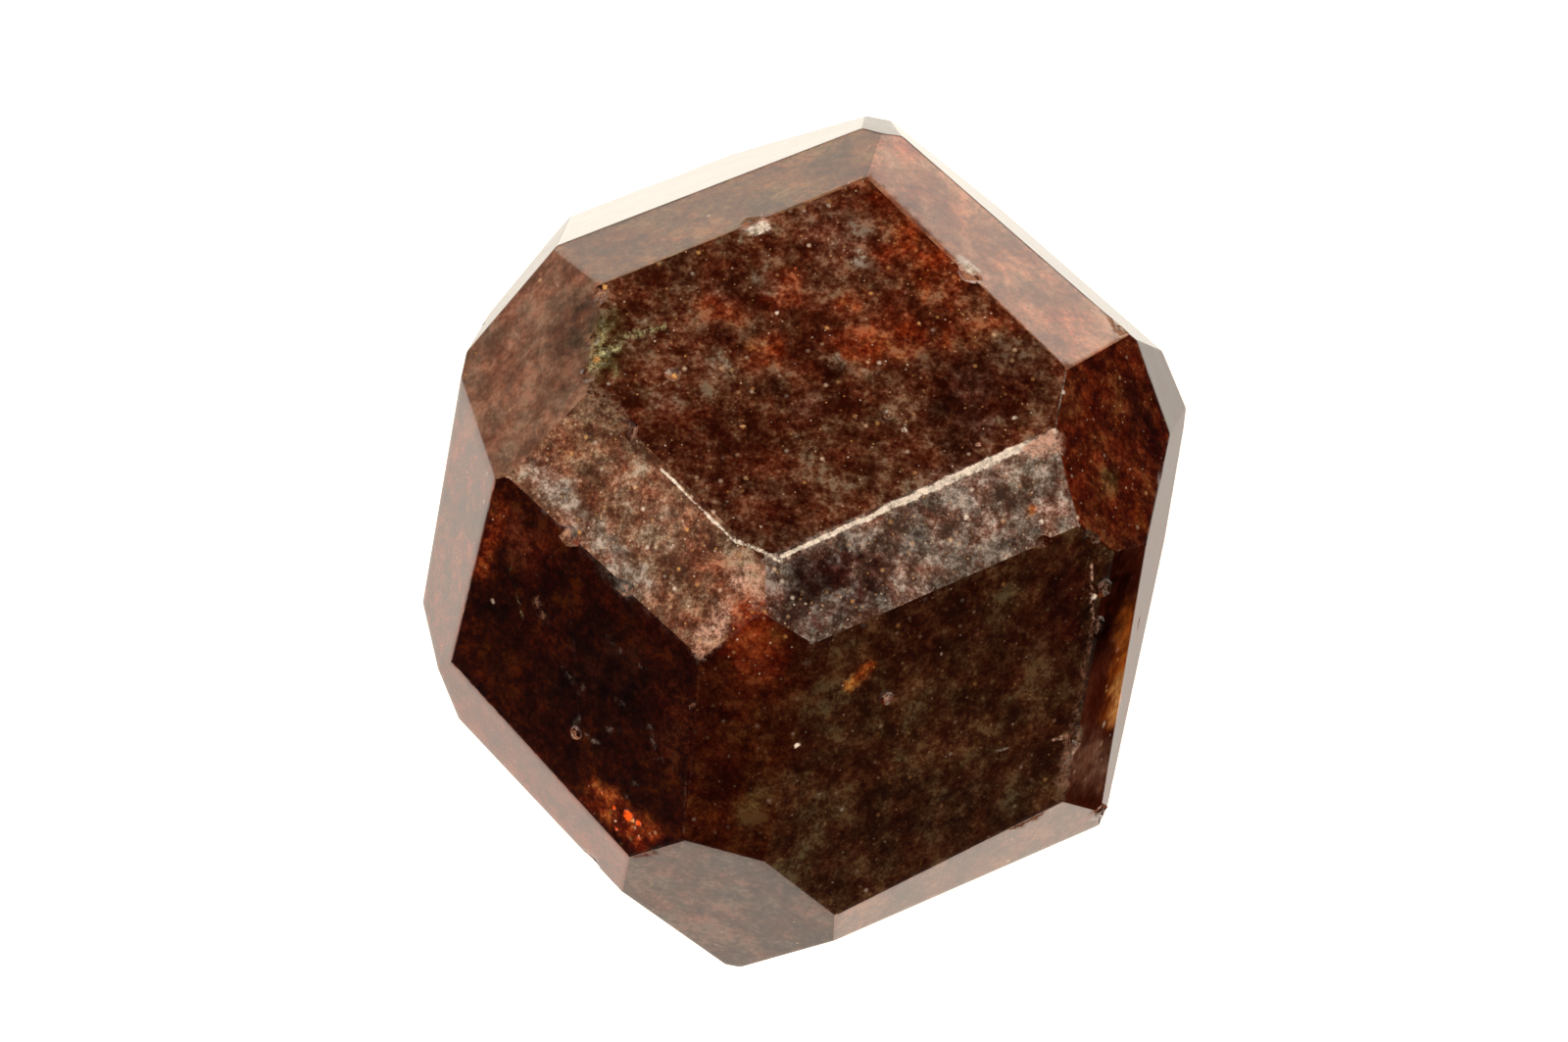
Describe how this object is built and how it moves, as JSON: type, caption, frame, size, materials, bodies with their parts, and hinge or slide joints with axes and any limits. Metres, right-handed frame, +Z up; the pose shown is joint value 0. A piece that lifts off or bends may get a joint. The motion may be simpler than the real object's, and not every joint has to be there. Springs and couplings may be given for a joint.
{
  "type": "andradite garnet crystal",
  "caption": "Loose dark red-brown garnet crystal, a rhombic dodecahedron with bevelled edges and small cube faces, worn and chipped; rests on a flat face.",
  "frame": {"origin": "centre of the crystal's bounding box in plan, at the level of the flat face it rests on", "axes": "+Z up, normal to the broad level top face; +Y away from the front ridge, along the crystal's longest side; +X to the right of someone who faces the front ridge"},
  "size_m": [0.0234, 0.0266, 0.0224],
  "materials": {
    "garnet": "natural crystal faces, glassy and almost opaque, with rough strips and chipped edges"
  },
  "bodies": {
    "root": {"garnet_crystal": "garnet"}
  },
  "joints": []
}
